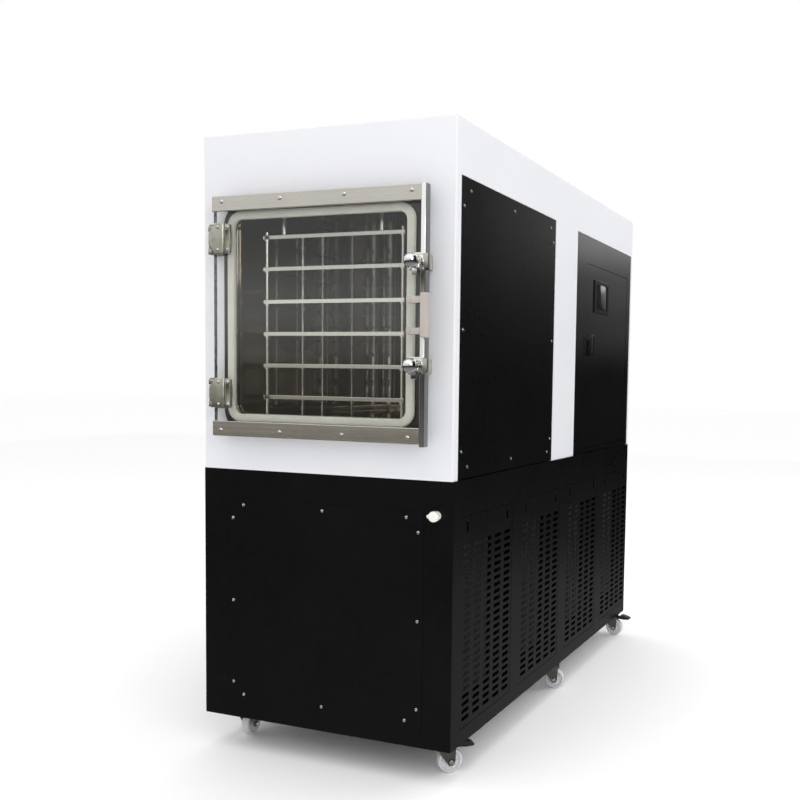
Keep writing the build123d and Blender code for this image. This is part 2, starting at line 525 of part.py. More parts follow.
hoses = []
for xm, mr in ((-202.0, 14.0), (-135.0, 17.0)):
    m = cz_(mr, 1075, 1622, xm, 676)
    m = fuse([m, cy_(14, 676, 699.9, xm, 1600), cz_(mr + 2, 1071, 1079, xm, 676)])
    hoses.append(m)
    for z in SHELF_Z:
        zt = z - 46.0 if z > 1115 else z + 40.0
        path = FilletPolyline((xm, SHELF_Y[1], z), (xm, SHELF_Y[1] + 30, z), (xm, SHELF_Y[1] + 30, zt),
                              (xm, 675.8 - mr, zt), radius=11)
        prof = Plane(origin=(xm, SHELF_Y[1], z), z_dir=(0, 1, 0)) * Circle(6.0)
        h = sweep(prof, path)
        hoses.append(h)
put("shelf_hoses", hoses)

# ---------------------------------------------------------------- cold trap
tr = cy_(265, 740, 1230, CX, CZ) - cy_(261, 744, 1226, CX, CZ)
tr = fuse([tr, cy_(94, CH_Y[1] + 5.2, 745, CX, CZ)]) - cy_(90, CH_Y[1], 746, CX, CZ)
dr = [cz_(13, 936, 1078, CX, 1200), cy_(10, 1200, D + 2, CX, 950), cy_(TAIL_R, D + 1, D + REAR_REACH, CX, 950)]
out = [cy_(28, 1228, 1290, CX, CZ + 60), cz_(36, 430, CZ + 100, CX, 1290)]
tr = fuse([tr] + dr + out)
put("cold_trap", tr)

ringp = make_face(Polyline(*[(205 + 7 * cos(radians(22.5 + 45 * k)), 7 * sin(radians(22.5 + 45 * k))) for k in range(8)], close=True))
ring1 = Pos(CX, 0, CZ) * revolve(ringp, Axis.Y, 360)
coil = [Pos(0, 800 + 38 * i, 0) * ring1 for i in range(11)]
coil += [bx(CX + s * 205 - 6, CX + s * 205 + 6, 798, 1182, CZ - 6, CZ + 6) for s in (-1, 1)]
put("cold_trap_coil", fuse(coil))

# ---------------------------------------------------------------- machinery
comps = []
for yc in (270.0, 640.0):
    prof = make_face(Polyline((0, Z0 + 22), (112, Z0 + 22), (122, Z0 + 40), (122, Z0 + 300), (112, Z0 + 335), (80, Z0 + 358),
                              (0, Z0 + 366), close=True))
    prof = Plane.XZ * prof
    c = revolve(prof, Axis.Z, 360)
    c = Pos(-200, yc, 0) * c
    feet = [bx(-200 - 130, -200 + 130, yc - 20, yc + 20, Z0 + 22, Z0 + 28), bx(-220, -180, yc - 130, yc + 130, Z0 + 22, Z0 + 28)]
    feet += [cz_(16, Z0 + 7, Z0 + 22.2, -200 + dx, yc + dy) for dx, dy in ((-118, 0), (118, 0), (0, -118), (0, 118))]
    box = bx(-200 + 100, -200 + 150, yc - 45, yc + 45, Z0 + 150, Z0 + 250)
    comps.append(fuse([c, box] + feet))
put("compressors", comps)

cd = bx(262, 342, 560, 930, Z0 + 60, Z0 + 610)
cd = cd - [bx(258, 346, 566, 924, Z0 + 76 + 22 * j, Z0 + 84 + 22 * j) for j in range(24)]
tubes = [cy_(5, 560, 930, x, Z0 + 69 + 22 * j) for j in (0, 8, 16, 24) for x in (280, 324)]
shroud = bx(216, 262, 560, 930, Z0 + 60, Z0 + 610) - bx(222, 263, 566, 924, Z0 + 66, Z0 + 604) - cx_(168, 210, 230, FAN[1], FAN[2])
motor = [cx_(45, 230, 258, FAN[1], FAN[2]), bx(250, 258, 566, 924, FAN[2] - 12, FAN[2] + 12), cx_(6, 205, 232, FAN[1], FAN[2])]
brkt = [bx(216, 342, 562, 590, Z0 + 43, Z0 + 61), bx(216, 342, 900, 928, Z0 + 43, Z0 + 61)]
put("condenser", fuse([cd, shroud] + motor + brkt))

hub = cx_(40, 190, 222, FAN[1], FAN[2])
blades = []
for k in range(5):
    bl = bx(-2, 2, -38, 38, 30, 158)
    bl = fillet(bl.edges().filter_by(Axis.X), 12)
    bl = Rot(0, 0, 32) * bl
    blades.append(Pos(206, FAN[1], FAN[2]) * Rot(72 * k, 0, 0) * bl)
fan = fuse([hub] + blades) - cx_(6.06, 180, 232, FAN[1], FAN[2])
put("condenser_fan", fan)

vp = fuse([bx(-300, -90, 1190, 1420, Z0 + 7, Z0 + 40), bx(-285, -105, 1200, 1380, Z0 + 39, Z0 + 250), cy_(85, 1380, 1640, -195, Z0 + 140),
           cy_(60, 1640, 1670, -195, Z0 + 140), cz_(30, Z0 + 249, Z0 + 300, -240, 1260), bx(-240, 20, 1255, 1305, Z0 + 260, Z0 + 300),
           bx(-230, -160, 1440, 1580, Z0 + 7, Z0 + 70)])
vp = vp + cz_(34, Z0 + 299, 429.8, CX, 1290) + bx(-30, 37, 1258, 1322, Z0 + 298, Z0 + 312)
put("vacuum_pump", vp)

ot = bx(90, 340, 1330, 1640, Z0 + 7, Z0 + 400)
ot = fillet(ot.edges().filter_by(Axis.Z), 20)
ot = fuse([ot, cz_(26, Z0 + 399, Z0 + 430, 150, 1400), cz_(55, Z0 + 399, Z0 + 560, 250, 1540), cy_(14, 1150, 1335, 200, Z0 + 120)])
put("oil_tank", ot)

vb = fuse([cy_(8.9, -3, 19, VALVE[0], VALVE[1]), cy_(16, 2, 18, VALVE[0], VALVE[1]), cy_(13, -3, -0.1, VALVE[0], VALVE[1]),
           cy_(7, 17, 66, VALVE[0], VALVE[1])])
vb = vb - cy_(4.06, -6, 15, VALVE[0], VALVE[1])
put("drain_valve_body", vb)
kp = make_face(Polyline((0, -30), (11, -30), (14.5, -27.5), (15.5, -22), (15, -13), (12, -8.5), (8, -5.5), (8, -3.4), (4.0, -3.4), (4.0, 14),
                        (0, 14), close=True))
vk = Pos(VALVE[0], 0, VALVE[1]) * revolve(kp, Axis.Y, 360)
wingk = bx(VALVE[0] - 21, VALVE[0], -24, -12, VALVE[1] - 5, VALVE[1] + 5)
wingk = fillet(wingk.edges().filter_by(Axis.Y).group_by(Axis.X)[0], 4.5)
put("drain_valve_knob", fuse([vk, wingk]))

# ---------------------------------------------------------------- write
os.makedirs("parts", exist_ok=True)
for f in os.listdir("parts"):
    if f.endswith(".step") and f[:-5] not in parts:
        os.remove(os.path.join("parts", f))
lo_ = [1e9] * 3
hi_ = [-1e9] * 3
for name, ss in parts.items():
    moved = [Pos(SHIFT_X, SHIFT_Y, 0) * s for s in ss]
    shape = moved[0] if len(moved) == 1 else Compound(children=moved)
    shape.label = name
    bb_ = shape.bounding_box()
    for k, (a, b) in enumerate(zip(bb_.min, bb_.max)):
        lo_[k] = min(lo_[k], a)
        hi_[k] = max(hi_[k], b)
    export_step(shape, "parts/%s.step" % name)
print(len(parts), "nodes; box", [round(v, 2) for v in lo_], [round(v, 2) for v in hi_], "shift", SHIFT_X, SHIFT_Y)
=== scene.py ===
import bpy
import bmesh
import json
import math
from mathutils import Vector, Matrix


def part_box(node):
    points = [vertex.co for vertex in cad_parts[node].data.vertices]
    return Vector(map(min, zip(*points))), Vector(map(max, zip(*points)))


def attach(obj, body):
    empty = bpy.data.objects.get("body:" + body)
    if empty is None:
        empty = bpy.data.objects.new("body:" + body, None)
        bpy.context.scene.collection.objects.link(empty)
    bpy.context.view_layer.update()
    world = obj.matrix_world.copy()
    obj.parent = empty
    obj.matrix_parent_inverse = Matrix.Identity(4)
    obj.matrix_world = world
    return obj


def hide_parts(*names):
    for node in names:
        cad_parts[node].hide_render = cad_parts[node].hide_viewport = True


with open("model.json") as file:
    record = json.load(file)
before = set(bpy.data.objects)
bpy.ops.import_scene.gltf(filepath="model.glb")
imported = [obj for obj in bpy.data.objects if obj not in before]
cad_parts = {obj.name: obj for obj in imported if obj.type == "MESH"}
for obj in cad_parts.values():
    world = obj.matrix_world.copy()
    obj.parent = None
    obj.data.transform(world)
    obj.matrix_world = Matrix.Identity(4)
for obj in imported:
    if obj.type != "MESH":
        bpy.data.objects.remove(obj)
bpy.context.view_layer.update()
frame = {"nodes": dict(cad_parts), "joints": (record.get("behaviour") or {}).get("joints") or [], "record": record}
nodes = frame["nodes"]
joints = {j["name"]: j for j in frame["joints"]}
bodies_of = {n: b for b, ns in frame["record"]["behaviour"]["bodies"].items() for n in ns}
slots_of = {s["node"]: s["material_slot"] for s in frame["record"]["subparts"]}
scene = bpy.context.scene
MM = 0.001

# ------------------------------------------------------------------ camera
cam_data = bpy.data.cameras.new("camera")
cam_data.sensor_width = 36.0
cam_data.lens = 44.282
cam_data.shift_x = -0.12
cam_data.shift_y = 0.0657
cam_data.clip_end = 200
cam = bpy.data.objects.new("camera", cam_data)
scene.collection.objects.link(cam)
az, pt, ro = 0.3836, 0.0746, 0.0170
fw = Vector((-math.sin(az) * math.cos(pt), math.cos(az) * math.cos(pt), -math.sin(pt)))
rt = Vector((math.cos(az), math.sin(az), 0))
up = rt.cross(fw)
rt2 = rt * math.cos(ro) + up * math.sin(ro)
up2 = up * math.cos(ro) - rt * math.sin(ro)
R = Matrix((rt2, up2, -fw)).transposed()
cam.matrix_world = Matrix.Translation((1.5322, -3.4070, 1.1697)) @ R.to_4x4()
scene.camera = cam
scene.view_settings.view_transform = "Standard"
scene.view_settings.look = "None"


# ------------------------------------------------------------------ materials
class G:
    """A material's node tree with short helpers."""

    def __init__(self, name):
        self.m = bpy.data.materials.new(name)
        self.m.use_nodes = True
        self.t = self.m.node_tree
        self.t.nodes.clear()
        self.out = self.t.nodes.new("ShaderNodeOutputMaterial")
        self.b = self.t.nodes.new("ShaderNodeBsdfPrincipled")
        self.t.links.new(self.b.outputs[0], self.out.inputs["Surface"])
        self.tc = None

    def link(self, a, b):
        self.t.links.new(a, b)

    def coord(self, scale=(1, 1, 1), rot=(0, 0, 0), uv=False):
        if self.tc is None:
            self.tc = self.t.nodes.new("ShaderNodeTexCoord")
        mp = self.t.nodes.new("ShaderNodeMapping")
        mp.inputs["Scale"].default_value = scale
        mp.inputs["Rotation"].default_value = rot
        self.link(self.tc.outputs["UV" if uv else "Object"], mp.inputs["Vector"])
        return mp.outputs[0]

    def noise(self, vec, scale, detail=2.0, rough=0.5, dist=0.0):
        n = self.t.nodes.new("ShaderNodeTexNoise")
        n.inputs["Scale"].default_value = scale
        n.inputs["Detail"].default_value = detail
        n.inputs["Roughness"].default_value = rough
        n.inputs["Distortion"].default_value = dist
        self.link(vec, n.inputs["Vector"])
        return n.outputs["Fac"]

    def voronoi(self, vec, scale, feature="F1"):
        n = self.t.nodes.new("ShaderNodeTexVoronoi")
        n.feature = feature
        n.inputs["Scale"].default_value = scale
        self.link(vec, n.inputs["Vector"])
        return n.outputs["Distance"]

    def rng(self, val, a, b, c, d, clamp=True):
        n = self.t.nodes.new("ShaderNodeMapRange")
        n.clamp = clamp
        n.inputs["From Min"].default_value = a
        n.inputs["From Max"].default_value = b
        n.inputs["To Min"].default_value = c
        n.inputs["To Max"].default_value = d
        self.link(val, n.inputs["Value"])
        return n.outputs["Result"]

    def math(self, op, a, b=None):
        n = self.t.nodes.new("ShaderNodeMath")
        n.operation = op
        for i, v in enumerate((a, b)):
            if v is None:
                continue
            if isinstance(v, (int, float)):
                n.inputs[i].default_value = v
            else:
                self.link(v, n.inputs[i])
        return n.outputs[0]

    def mix(self, fac, c1, c2):
        n = self.t.nodes.new("ShaderNodeMix")
        n.data_type = "RGBA"
        self.link(fac, n.inputs["Factor"])
        for key, c in (("A", c1), ("B", c2)):
            s = [i for i in n.inputs if i.name == key and i.type == "RGBA"][0]
            if hasattr(c, "links") or hasattr(c, "is_linked"):
                self.link(c, s)
            else:
                s.default_value = (c[0], c[1], c[2], 1)
        return [o for o in n.outputs if o.type == "RGBA"][0]

    def bump(self, height, strength, dist=0.001, prev=None):
        n = self.t.nodes.new("ShaderNodeBump")
        n.inputs["Strength"].default_value = strength
        n.inputs["Distance"].default_value = dist
        self.link(height, n.inputs["Height"])
        if prev is not None:
            self.link(prev, n.inputs["Normal"])
        return n.outputs[0]

    def set(self, **kw):
        names = {"rough": "Roughness", "metal": "Metallic", "spec": "Specular IOR Level", "coat": "Coat Weight", "coat_rough": "Coat Roughness",
                 "ior": "IOR", "trans": "Transmission Weight", "sss": "Subsurface Weight", "sheen": "Sheen Weight"}
        for k, v in kw.items():
            s = self.b.inputs[names[k]]
            if isinstance(v, (int, float)):
                s.default_value = v
            else:
                self.link(v, s)
        return self

    def base(self, c):
        s = self.b.inputs["Base Color"]
        if isinstance(c, (tuple, list)):
            s.default_value = (c[0], c[1], c[2], 1)
        else:
            self.link(c, s)

    def normal(self, n):
        self.link(n, self.b.inputs["Normal"])


def scaled(c, k):
    return tuple(min(1.0, v * k) for v in c)


def powder(name, rgb, rough, spec=0.5, grain=900.0, bump=0.12, var=0.05, peel=170.0, peel_bump=0.05, coat=0.0):
    """Powder coat: fine grain, a soft orange peel, and a slow drift of tone and gloss."""
    g = G(name)
    v = g.coord()
    slow = g.noise(v, 2.3, 3, 0.55)
    mid = g.noise(v, 22.0, 3, 0.6)
    tone = g.math("ADD", g.math("MULTIPLY", slow, 0.7), g.math("MULTIPLY", mid, 0.3))
    g.base(g.mix(g.rng(tone, 0.35, 0.65, 0, 1), scaled(rgb, 1 - var), scaled(rgb, 1 + var)))
    g.set(rough=g.rng(tone, 0.3, 0.7, rough - 0.035, rough + 0.035), spec=spec, coat=coat)
    n = g.bump(g.noise(v, peel, 1, 0.4), peel_bump, 0.0006)
    g.normal(g.bump(g.noise(v, grain, 2, 0.6), bump, 0.00012, n))
    return g.m


def brushed(name, rgb, rough, axis, fine=0.22, var=0.10, long=3.0, cross=900.0, spread=0.10):
    """Ground stainless steel: long fine lines along one axis, broader streaks and a faint cloud."""
    g = G(name)
    s = [cross, cross, cross]
    s["xyz".index(axis)] = long
    s2 = [120.0, 120.0, 120.0]
    s2["xyz".index(axis)] = 1.2
    lines = g.noise(g.coord(tuple(s)), 1.0, 3, 0.65)
    streak = g.noise(g.coord(tuple(s2)), 1.0, 2, 0.5)
    cloud = g.noise(g.coord(), 6.0, 3, 0.5)
    mixv = g.math("ADD", g.math("MULTIPLY", lines, 0.5), g.math("ADD", g.math("MULTIPLY", streak, 0.3), g.math("MULTIPLY", cloud, 0.2)))
    g.base(g.mix(g.rng(mixv, 0.36, 0.64, 0, 1), scaled(rgb, 1 - var), scaled(rgb, 1 + var)))
    g.set(metal=1.0, rough=g.rng(mixv, 0.36, 0.64, rough - spread / 2, rough + spread / 2))
    g.normal(g.bump(lines, fine, 0.00005))
    return g.m


def cast(name, rgb, rough, metal=1.0, grain=420.0, bump=0.35, var=0.12, spec=0.5):
    """Blasted casting or pressed plated steel: pebbled grain with cloudy tone."""
    g = G(name)
    v = g.coord()
    cloud = g.noise(v, 28.0, 4, 0.6)
    grainv = g.noise(v, grain, 2, 0.6)
    g.base(g.mix(g.rng(cloud, 0.35, 0.65, 0, 1), scaled(rgb, 1 - var), scaled(rgb, 1 + var)))
    g.set(metal=metal, spec=spec, rough=g.rng(g.math("ADD", g.math("MULTIPLY", cloud, 0.6), g.math("MULTIPLY", grainv, 0.4)), 0.35, 0.65, rough - 0.06, rough + 0.06))
    g.normal(g.bump(grainv, bump, 0.00015))
    return g.m


def plastic(name, rgb, rough, spec=0.5, grain=1200.0, bump=0.10, var=0.05, sss=0.0, coat=0.0):
    g = G(name)
    v = g.coord()
    cloud = g.noise(v, 14.0, 2, 0.5)
    g.base(g.mix(g.rng(cloud, 0.35, 0.65, 0, 1), scaled(rgb, 1 - var), scaled(rgb, 1 + var)))
    g.set(rough=g.rng(cloud, 0.3, 0.7, rough - 0.04, rough + 0.04), spec=spec, sss=sss, coat=coat)
    g.normal(g.bump(g.noise(v, grain, 2, 0.6), bump, 0.00010))
    return g.m


M = {}
M["white_paint"] = powder("white_powder_coat", (0.70, 0.705, 0.735), 0.36, 0.50, var=0.012, bump=0.05, peel_bump=0.03)
M["black_panel"] = powder("black_satin_coat", (0.0046, 0.0046, 0.0047), 0.28, 0.12, var=0.18, bump=0.16, peel_bump=0.05)
M["black_gloss"] = powder("black_gloss_coat", (0.0045, 0.0045, 0.0045), 0.13, 0.50, var=0.15, bump=0.03, peel=90.0, peel_bump=0.03)
M["frame_black"] = powder("black_matt_paint", (0.011, 0.011, 0.011), 0.58, 0.35, var=0.2, bump=0.3)
M["brushed_steel"] = brushed("stainless_brushed_x", (0.70, 0.675, 0.625), 0.26, "x", fine=0.15, var=0.08)
# lighter copy of the door bar steel for the side bar: painted highlight; its grain along z is real
M["side_bar_steel_painted_highlight"] = brushed("stainless_side_bar_painted_highlight", (0.86, 0.86, 0.84), 0.14, "z", fine=0.06, var=0.05, spread=0.05)
M["cast_steel"] = cast("stainless_casting", (0.55, 0.54, 0.47), 0.38, var=0.2)
# chamber steel darker than bare stainless: painted shade of the deep interior
M["chamber_steel"] = brushed("chamber_painted_shade_steel", (0.36, 0.33, 0.285), 0.065, "y", fine=0.0, var=0.05, cross=120.0, spread=0.03)
M["shelf_steel"] = brushed("shelf_ground_steel", (0.70, 0.69, 0.645), 0.12, "x", fine=0.035, var=0.05, spread=0.05)
M["rod_steel"] = brushed("rod_drawn_steel", (0.72, 0.71, 0.67), 0.24, "z", fine=0.05, var=0.04)
M["hose_steel"] = brushed("manifold_bright_steel", (0.92, 0.91, 0.87), 0.32, "z", fine=0.05, var=0.04)
M["screw_steel"] = cast("screw_bright_zinc", (0.78, 0.78, 0.79), 0.24, bump=0.06, var=0.06)
M["chrome_knob"] = cast("polished_chrome", (0.84, 0.84, 0.86), 0.085, grain=300.0, bump=0.015, var=0.03)
M["handle_grey"] = plastic("handle_grey_plastic", (0.40, 0.36, 0.33), 0.36, grain=900.0, bump=0.14)
M["black_rubber"] = plastic("black_rubber", (0.008, 0.008, 0.009), 0.42, spec=0.35, var=0.15)
M["screen_black"] = plastic("screen_bezel_black", (0.006, 0.006, 0.007), 0.30, spec=0.4, bump=0.08)
M["lock_metal"] = cast("lock_satin_diecast", (0.10, 0.10, 0.105), 0.30, bump=0.12)
M["aluminium_plate"] = brushed("mounting_plate_zinc", (0.62, 0.62, 0.62), 0.38, "z")
M["zinc"] = cast("zinc_plated_steel", (0.22, 0.225, 0.205), 0.33, grain=260.0, bump=0.12, var=0.22)
M["wheel_white"] = plastic("wheel_white_nylon", (0.60, 0.60, 0.62), 0.34, bump=0.12, sss=0.05)
M["pedal_black"] = plastic("pedal_black_plastic", (0.013, 0.013, 0.013), 0.42, bump=0.3)
M["valve_white"] = plastic("valve_white_plastic", (0.80, 0.79, 0.74), 0.26, bump=0.05)
M["copper"] = cast("copper_tube", (0.75, 0.42, 0.28), 0.26, bump=0.05, var=0.15)
M["compressor_black"] = powder("compressor_enamel", (0.012, 0.012, 0.013), 0.24, 0.5, var=0.2, bump=0.08)
M["fan_black"] = plastic("fan_black_plastic", (0.012, 0.012, 0.012), 0.45)
M["pump_grey"] = powder("pump_enamel", (0.17, 0.19, 0.22), 0.34, 0.5, var=0.08, bump=0.15, peel_bump=0.15)
M["tank_steel"] = brushed("tank_dull_steel", (0.20, 0.20, 0.19), 0.42, "z")
# darker copy of the side bar's steel for its outer side faces: painted shade
M["side_face_steel"] = brushed("stainless_painted_shade_side", (0.26, 0.26, 0.25), 0.38, "z", fine=0.06, var=0.05)
M["brass"] = cast("brass_turned", (0.78, 0.60, 0.30), 0.22, bump=0.04, var=0.08)

# satin white silicone: soft, slightly dusty bloom
g = G("silicone_gasket")
v = g.coord()
cl = g.noise(v, 16.0, 3, 0.55)
g.base(g.mix(g.rng(cl, 0.3, 0.7, 0, 1), (0.76, 0.74, 0.655), (0.82, 0.80, 0.72)))
g.set(rough=g.rng(cl, 0.3, 0.7, 0.30, 0.42), spec=0.5, sss=0.06)
g.normal(g.bump(g.noise(v, 700.0, 2, 0.5), 0.10, 0.0001))
M["silicone"] = g.m

# clear acrylic
g = G("acrylic_clear")
g.base((0.965, 0.975, 0.965))
g.set(trans=1.0, ior=1.49, spec=0.35)
g.set(rough=0.0)
v = g.coord()
g.normal(g.bump(g.noise(v, 3.0, 1, 0.5), 0.02, 0.002))
M["acrylic"] = g.m

# sawn and flamed edges of the clear plate: the rough finish is real, their dark green-grey tint is painted shade
g = G("acrylic_sawn_rim_painted_shade")
v = g.coord()
ed = g.noise(v, 60.0, 2, 0.5)
g.base(g.mix(g.rng(ed, 0.3, 0.7, 0, 1), (0.30, 0.34, 0.31), (0.38, 0.42, 0.39)))
g.set(trans=1.0, ior=1.49, spec=0.5, rough=g.rng(ed, 0.3, 0.7, 0.22, 0.34))
M["acrylic_sawn_rim_painted_shade"] = g.m

# dark screen glass
g = G("screen_glass")
v = g.coord()
sm = g.noise(v, 18.0, 4, 0.6, 0.6)
g.base(g.mix(g.rng(sm, 0.35, 0.65, 0, 1), (0.010, 0.011, 0.012), (0.016, 0.017, 0.018)))
g.set(rough=g.rng(sm, 0.3, 0.7, 0.05, 0.11), spec=0.5, coat=0.6, coat_rough=0.03)
M["screen_glass"] = g.m

# open-cell filter foam; the darker cell centres are painted shade in the pores
g = G("filter_foam")
v = g.coord()
ce = g.voronoi(v, 420.0)
cl = g.noise(v, 30.0, 3, 0.6)
g.base(g.mix(g.rng(ce, 0.0, 0.55, 0, 1), (0.020, 0.020, 0.020), (0.050, 0.050, 0.048)))
g.set(rough=g.rng(cl, 0.3, 0.7, 0.85, 0.98), spec=0.2)
g.normal(g.bump(ce, 0.9, 0.0008))
M["filter_foam"] = g.m

# condenser fins: tight lines across the height, the dark bands between them painted shade in the fin gaps
g = G("fin_gap_painted_shade")
w = g.t.nodes.new("ShaderNodeTexWave")
w.wave_type = "BANDS"
w.bands_direction = "Y"
w.inputs["Scale"].default_value = 160.0
w.inputs["Distortion"].default_value = 0.4
w.inputs["Detail"].default_value = 1.0
g.link(g.coord(), w.inputs["Vector"])
g.base(g.mix(w.outputs["Fac"], (0.20, 0.20, 0.205), (0.58, 0.58, 0.59)))
g.set(metal=1.0, rough=g.rng(w.outputs["Fac"], 0, 1, 0.5, 0.32))
g.normal(g.bump(w.outputs["Fac"], 0.8, 0.0008))
M["fin_aluminium"] = g.m

# braided hose: woven wires, crossed helices from the tube's own coordinates; the dark colour between the wires is
# painted shade
g = G("braided_steel")
uv = g.coord((1, 1, 1), uv=True)
sep = g.t.nodes.new("ShaderNodeSeparateXYZ")
g.link(uv, sep.inputs[0])
u_, v_ = sep.outputs[0], sep.outputs[1]
ua = g.math("MULTIPLY", u_, 2 * math.pi / 0.0075)
va = g.math("MULTIPLY", v_, 2 * math.pi * 8)
s1 = g.math("SINE", g.math("ADD", ua, va))
s2 = g.math("SINE", g.math("SUBTRACT", ua, va))
h = g.math("MAXIMUM", s1, s2)
g.base(g.mix(g.rng(h, -0.6, 0.9, 0, 1), (0.22, 0.21, 0.19), (0.92, 0.905, 0.86)))
g.set(metal=1.0, rough=g.rng(h, -0.6, 1.0, 0.48, 0.24))
g.normal(g.bump(h, 0.7, 0.0005))
M["braided_steel"] = g.m

node_material = {"door_side_bar": "side_bar_steel_painted_highlight", "clamp_keepers": "cast_steel", "shelf_rods": "rod_steel", "shelf_hoses": "hose_steel",
                 "touch_screen": "screen_black", "cold_trap": "tank_steel", "oil_tank": "tank_steel"}
for n, ob in nodes.items():
    m = M[node_material.get(n, slots_of[n])]
    ob.data.materials.clear()
    ob.data.materials.append(m)


# ------------------------------------------------------------------ geometry helpers
def islands(name):
    """Connected solids of a CAD node as (lowest corner, highest corner)."""
    me = nodes[name].data
    bm = bmesh.new()
    bm.from_mesh(me)
    bmesh.ops.remove_doubles(bm, verts=bm.verts, dist=1e-6)
    bm.verts.ensure_lookup_table()
    seen, out = set(), []
    for v0 in bm.verts:
        if v0.index in seen:
            continue
        stack, lo, hi = [v0], Vector((1e9,) * 3), Vector((-1e9,) * 3)
        seen.add(v0.index)
        while stack:
            v = stack.pop()
            lo = Vector(map(min, lo, v.co))
            hi = Vector(map(max, hi, v.co))
            for e in v.link_edges:
                w = e.other_vert(v)
                if w.index not in seen:
                    seen.add(w.index)
                    stack.append(w)
        out.append((lo, hi))
    bm.free()
    return sorted(out, key=lambda b: (round(b[0].z, 4), round(b[0].y, 4), round(b[0].x, 4)))


def smooth(bm, angle=35.0):
    lim = math.radians(angle)
    for f in bm.faces:
        f.smooth = True
    for e in bm.edges:
        e.smooth = len(e.link_faces) == 2 and e.calc_face_angle(0.0) < lim


def make(name, bm, mat, body, replaces=(), angle=35.0):
    bmesh.ops.recalc_face_normals(bm, faces=bm.faces)
    smooth(bm, angle)
    me = bpy.data.meshes.new(name)
    bm.to_mesh(me)
    bm.free()
    ob = bpy.data.objects.new(name, me)
    scene.collection.objects.link(ob)
    for m in (mat if isinstance(mat, (list, tuple)) else [mat]):
        me.materials.append(m)
    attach(ob, body)
    if replaces:
        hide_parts(*replaces)
    return ob


def along(axis, origin):
    """Matrix that takes local +Z to axis at origin."""
    return Matrix.Translation(origin) @ Vector((0, 0, 1)).rotation_difference(Vector(axis)).to_matrix().to_4x4()


def lathe(bm, prof, mx, seg=48, closed=False, mat=0, shape=None):
    """Turned solid: prof is (axial, radius) in metres along local +Z. Radius 0 makes a pole."""
    rings = []
    for i, (a, r) in enumerate(prof):
        if r <= 1e-9:
            rings.append([bm.verts.new(mx @ Vector((0, 0, a)))])
        else:
            ring = []
            for k in range(seg):
                t = 2 * math.pi * k / seg
                rr = shape(i, t, r) if shape else r
                ring.append(bm.verts.new(mx @ Vector((rr * math.cos(t), rr * math.sin(t), a))))
            rings.append(ring)
    pairs = list(zip(rings, rings[1:]))
    if closed:
        pairs.append((rings[-1], rings[0]))
    for a, b in pairs:
        for k in range(seg):
            k2 = (k + 1) % seg
            if len(a) == 1 and len(b) == 1:
                continue
            if len(a) == 1:
                f = bm.faces.new((a[0], b[k], b[k2]))
            elif len(b) == 1:
                f = bm.faces.new((a[k], b[0], a[k2]))
            else:
                f = bm.faces.new((a[k], b[k], b[k2], a[k2]))
            f.material_index = mat


def block(bm, lo, hi, bev=0.0, seg=2, mx=None, mat=0, only=None):
    """Box with rounded edges. only filters the edges that are rounded, by their middle and direction."""
    lo, hi = Vector(lo), Vector(hi)
    c = bmesh.ops.create_cube(bm, size=1.0)["verts"]
    for v in c:
        v.co = Vector(((lo.x + hi.x) / 2 + v.co.x * (hi.x - lo.x), (lo.y + hi.y) / 2 + v.co.y * (hi.y - lo.y), (lo.z + hi.z) / 2 + v.co.z * (hi.z - lo.z)))
    fs = list({f for v in c for f in v.link_faces})
    if bev > 0:
        es = list({e for v in c for e in v.link_edges})
        if only:
            es = [e for e in es if only((e.verts[0].co + e.verts[1].co) / 2, (e.verts[1].co - e.verts[0].co).normalized())]
        r = bmesh.ops.bevel(bm, geom=es, offset=bev, segments=seg, profile=0.5, affect="EDGES", clamp_overlap=True)
        fs = list({f for f in fs if f.is_valid} | set(r["faces"]))
    for f in fs:
        f.material_index = mat
    if mx is not None:
        for v in {v for f in fs for v in f.verts}:
            v.co = mx @ v.co
    return fs


def softened(node, width, seg=2, angle=32.0, mat=None, name=None, keep=None):
    """A copy of a CAD node with its sharp edges rounded, which stands for it."""
    bm = bmesh.new()
    bm.from_mesh(nodes[node].data)
    bmesh.ops.remove_doubles(bm, verts=bm.verts, dist=2e-6)
    bmesh.ops.dissolve_degenerate(bm, edges=bm.edges, dist=1e-6)
    bmesh.ops.dissolve_limit(bm, angle_limit=math.radians(1.0), verts=bm.verts, edges=bm.edges)
    lim = math.radians(angle)
    es = [e for e in bm.edges if len(e.link_faces) == 2 and e.calc_face_angle(0.0) > lim and (keep is None or keep(e))]
    bmesh.ops.bevel(bm, geom=es, offset=width, segments=seg, profile=0.5, affect="EDGES", clamp_overlap=True, miter_outer="ARC")
    bmesh.ops.triangulate(bm, faces=[f for f in bm.faces if len(f.verts) > 4])
    return make(name or node + "_finished", bm, mat or M[node_material.get(node, slots_of[node])], bodies_of[node], (node,), 40.0)


def hexagon(t):
    p = (t + math.pi / 6) % (math.pi / 3) - math.pi / 6
    return 1.0 / math.cos(p)


def cross(t, w=0.34, l=1.0):
    p = (t + math.pi / 4) % (math.pi / 2) - math.pi / 4
    return min(l / math.cos(p), w / max(abs(math.sin(p)), 1e-6))


